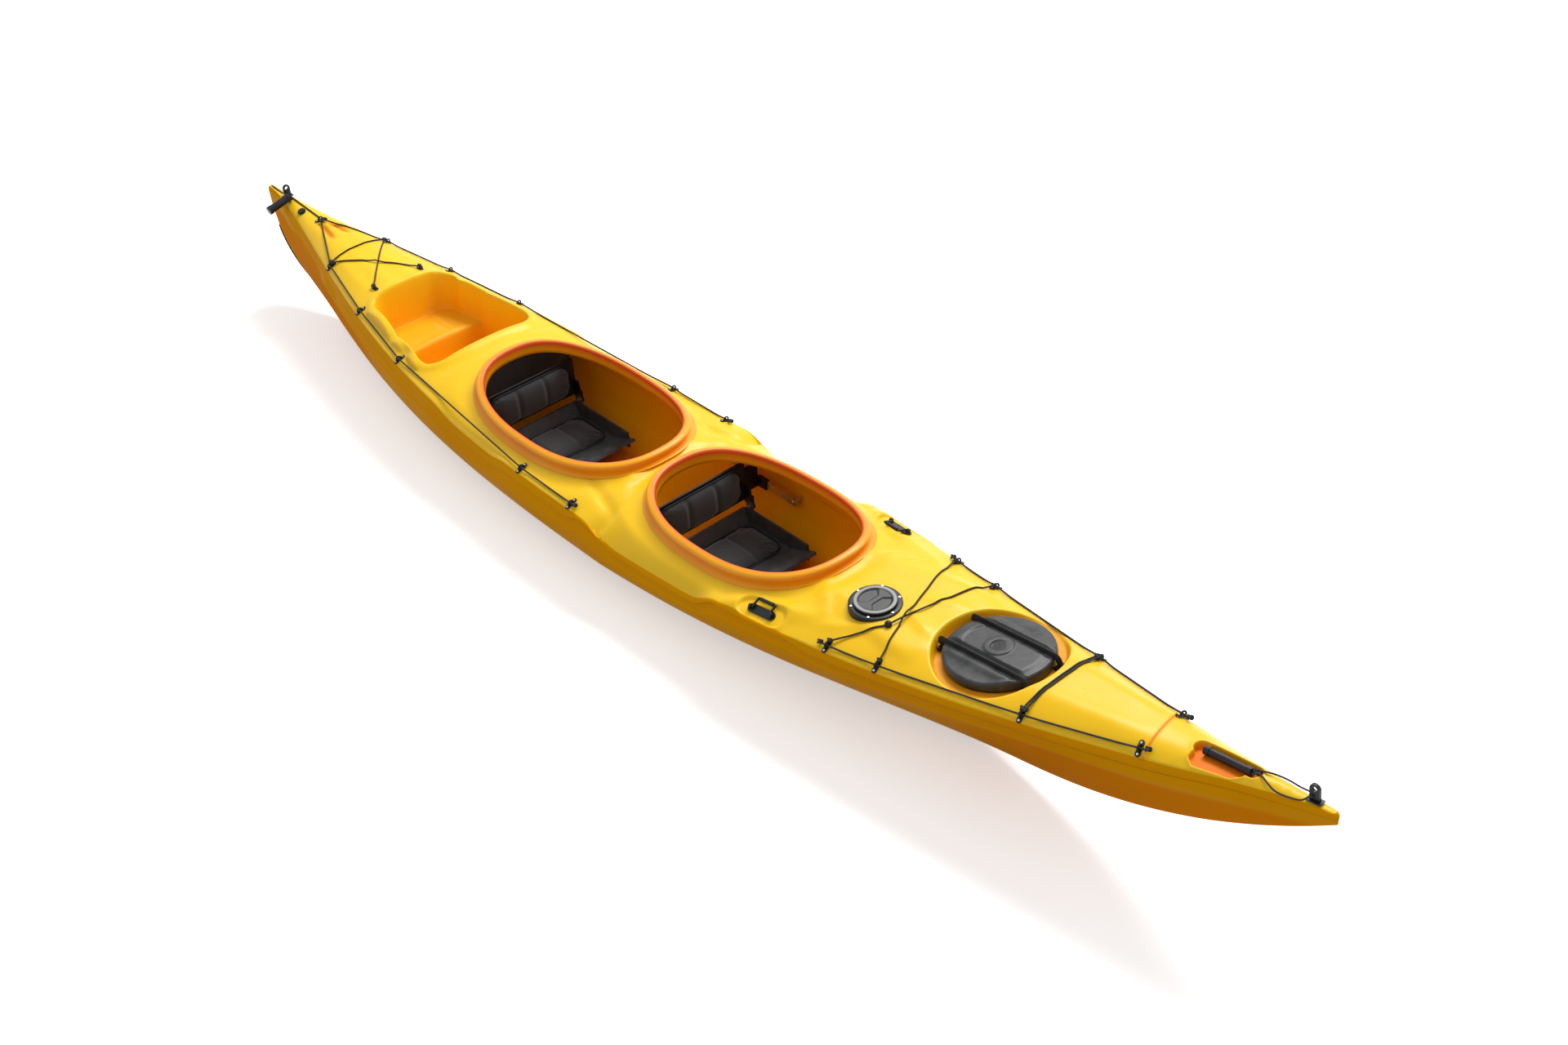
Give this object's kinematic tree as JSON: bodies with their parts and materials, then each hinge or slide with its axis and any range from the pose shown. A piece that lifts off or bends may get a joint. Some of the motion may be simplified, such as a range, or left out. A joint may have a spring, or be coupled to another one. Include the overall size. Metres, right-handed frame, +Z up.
{
  "type": "tandem kayak",
  "caption": "Sit-in tandem touring kayak with hull and deck shells, two cockpits, bow hatch, deck plate, open tank well, deck lines, shock cords and swinging carry handles",
  "frame": {"origin": "under the middle of the keel, on the ground plane", "axes": "+X to the bow, +Y to port, +Z up"},
  "size_m": [5.4, 0.74, 0.6076],
  "materials": {
    "hull_yellow": "moulded, satin",
    "deck_yellow": "moulded, satin",
    "coaming_orange": "moulded, satin",
    "foam_grey": "closed-cell foam",
    "lid_grey": "moulded, fine grain",
    "black_rubber": "soft",
    "webbing_black": "woven",
    "black_plastic": "moulded",
    "seat_grey": "moulded",
    "pad_fabric": "woven over foam",
    "rail_aluminium": "extruded",
    "screw_steel": "stainless",
    "cord_black": "braided"
  },
  "bodies": {
    "boat": {"lower_hull": "hull_yellow", "deck": "deck_yellow", "front_coaming": "coaming_orange", "rear_coaming": "coaming_orange", "bow_bulkhead": "foam_grey", "stern_bulkhead": "foam_grey", "bow_hatch_rim": "black_plastic", "hatch_strap_anchors": "black_plastic", "deck_plate_collar": "black_plastic", "deck_plate_screws": "screw_steel", "front_seat": "seat_grey", "front_seat_pad": "pad_fabric", "rear_seat": "seat_grey", "rear_seat_pad": "pad_fabric", "backrest_pins": "screw_steel", "front_rail_port": "rail_aluminium", "front_rail_stbd": "rail_aluminium", "rear_rail_port": "rail_aluminium", "rear_rail_stbd": "rail_aluminium", "rail_screws": "screw_steel", "deck_eyes": "black_plastic", "deck_eye_screws": "screw_steel", "fore_line_port": "cord_black", "fore_line_stbd": "cord_black", "aft_line_port": "cord_black", "aft_line_stbd": "cord_black", "fore_bungee_port": "cord_black", "fore_bungee_stbd": "cord_black", "bungee_bead": "black_plastic", "bow_bungee": "cord_black", "stern_bungee": "cord_black", "stern_cord": "cord_black", "bow_eye": "black_plastic", "stern_eye": "black_plastic", "stern_skid_plate": "black_plastic", "side_handle_bases": "black_plastic", "drain_seat": "black_plastic"},
    "hatch_lid": {"bow_hatch_lid": "lid_grey", "bow_hatch_seal": "black_rubber", "hatch_strap_port": "webbing_black", "hatch_strap_stbd": "webbing_black", "hatch_buckles": "black_plastic"},
    "deck_plate_lift": {"deck_plate_oring": "black_rubber"},
    "deck_plate_cap": {"deck_plate_lid": "lid_grey"},
    "front_back": {"front_backrest": "black_plastic", "front_backrest_pad": "pad_fabric"},
    "rear_back": {"rear_backrest": "black_plastic", "rear_backrest_pad": "pad_fabric"},
    "pedal_front_port": {"front_pedal_port": "black_plastic"},
    "pedal_front_stbd": {"front_pedal_stbd": "black_plastic"},
    "pedal_rear_port": {"rear_pedal_port": "black_plastic"},
    "pedal_rear_stbd": {"rear_pedal_stbd": "black_plastic"},
    "bow_handle": {"bow_handle_cord": "cord_black", "bow_toggle": "black_plastic"},
    "stern_handle": {"stern_handle_cord": "cord_black", "stern_toggle": "black_plastic"},
    "bail_port": {"side_handle_port": "black_plastic"},
    "bail_stbd": {"side_handle_stbd": "black_plastic"},
    "drain_screw": {"drain_plug": "black_plastic"}
  },
  "joints": [
    {"name": "hatch_lid_lift", "type": "slide", "parent": "boat", "child": "hatch_lid", "axis": [-0.1073, 0, 0.9942], "range_m": [0, 0.15]},
    {"name": "deck_plate_lift_off", "type": "slide", "parent": "boat", "child": "deck_plate_lift", "axis": [0, 0, 1], "range_m": [0, 0.08]},
    {"name": "deck_plate_turn", "type": "hinge", "parent": "deck_plate_lift", "child": "deck_plate_cap", "pos_m": [1.118, -0.082, 0.3936], "axis": [0, 0, 1], "continuous": true},
    {"name": "front_back_recline", "type": "hinge", "parent": "boat", "child": "front_back", "pos_m": [0.18, 0, 0.12882], "axis": [0, 1, 0], "range_deg": [-10, 70]},
    {"name": "rear_back_recline", "type": "hinge", "parent": "boat", "child": "rear_back", "pos_m": [-0.82, 0, 0.12807], "axis": [0, 1, 0], "range_deg": [-10, 70]},
    {"name": "front_pedal_port_slide", "type": "slide", "parent": "boat", "child": "pedal_front_port", "axis": [0.9726, -0.2326, 0], "range_m": [-0.12, 0.12]},
    {"name": "front_pedal_stbd_slide", "type": "slide", "parent": "boat", "child": "pedal_front_stbd", "axis": [0.9726, 0.2326, 0], "range_m": [-0.12, 0.12]},
    {"name": "rear_pedal_port_slide", "type": "slide", "parent": "boat", "child": "pedal_rear_port", "axis": [0.9994, -0.034, 0], "range_m": [-0.12, 0.12]},
    {"name": "rear_pedal_stbd_slide", "type": "slide", "parent": "boat", "child": "pedal_rear_stbd", "axis": [0.9994, 0.034, 0], "range_m": [-0.12, 0.12]},
    {"name": "bow_handle_swing", "type": "hinge", "parent": "boat", "child": "bow_handle", "pos_m": [2.62637, 0, 0.56971], "axis": [0, 1, 0], "range_deg": [0, 110]},
    {"name": "stern_handle_swing", "type": "hinge", "parent": "boat", "child": "stern_handle", "pos_m": [-2.54382, 0, 0.49849], "axis": [-1, 0, 0], "range_deg": [0, 110]},
    {"name": "side_handle_port_lift", "type": "hinge", "parent": "boat", "child": "bail_port", "pos_m": [0.82976, 0.29851, 0.32142], "axis": [-0.9935, 0.0915, -0.0671], "range_deg": [0, 100]},
    {"name": "side_handle_stbd_lift", "type": "hinge", "parent": "boat", "child": "bail_stbd", "pos_m": [0.82976, -0.29851, 0.32142], "axis": [0.9935, 0.0915, 0.0671], "range_deg": [0, 100]},
    {"name": "drain_plug_turn", "type": "hinge", "parent": "boat", "child": "drain_screw", "pos_m": [-2.395, -0.022, 0.46755], "axis": [0.064, -0.2594, 0.9636], "continuous": true}
  ]
}
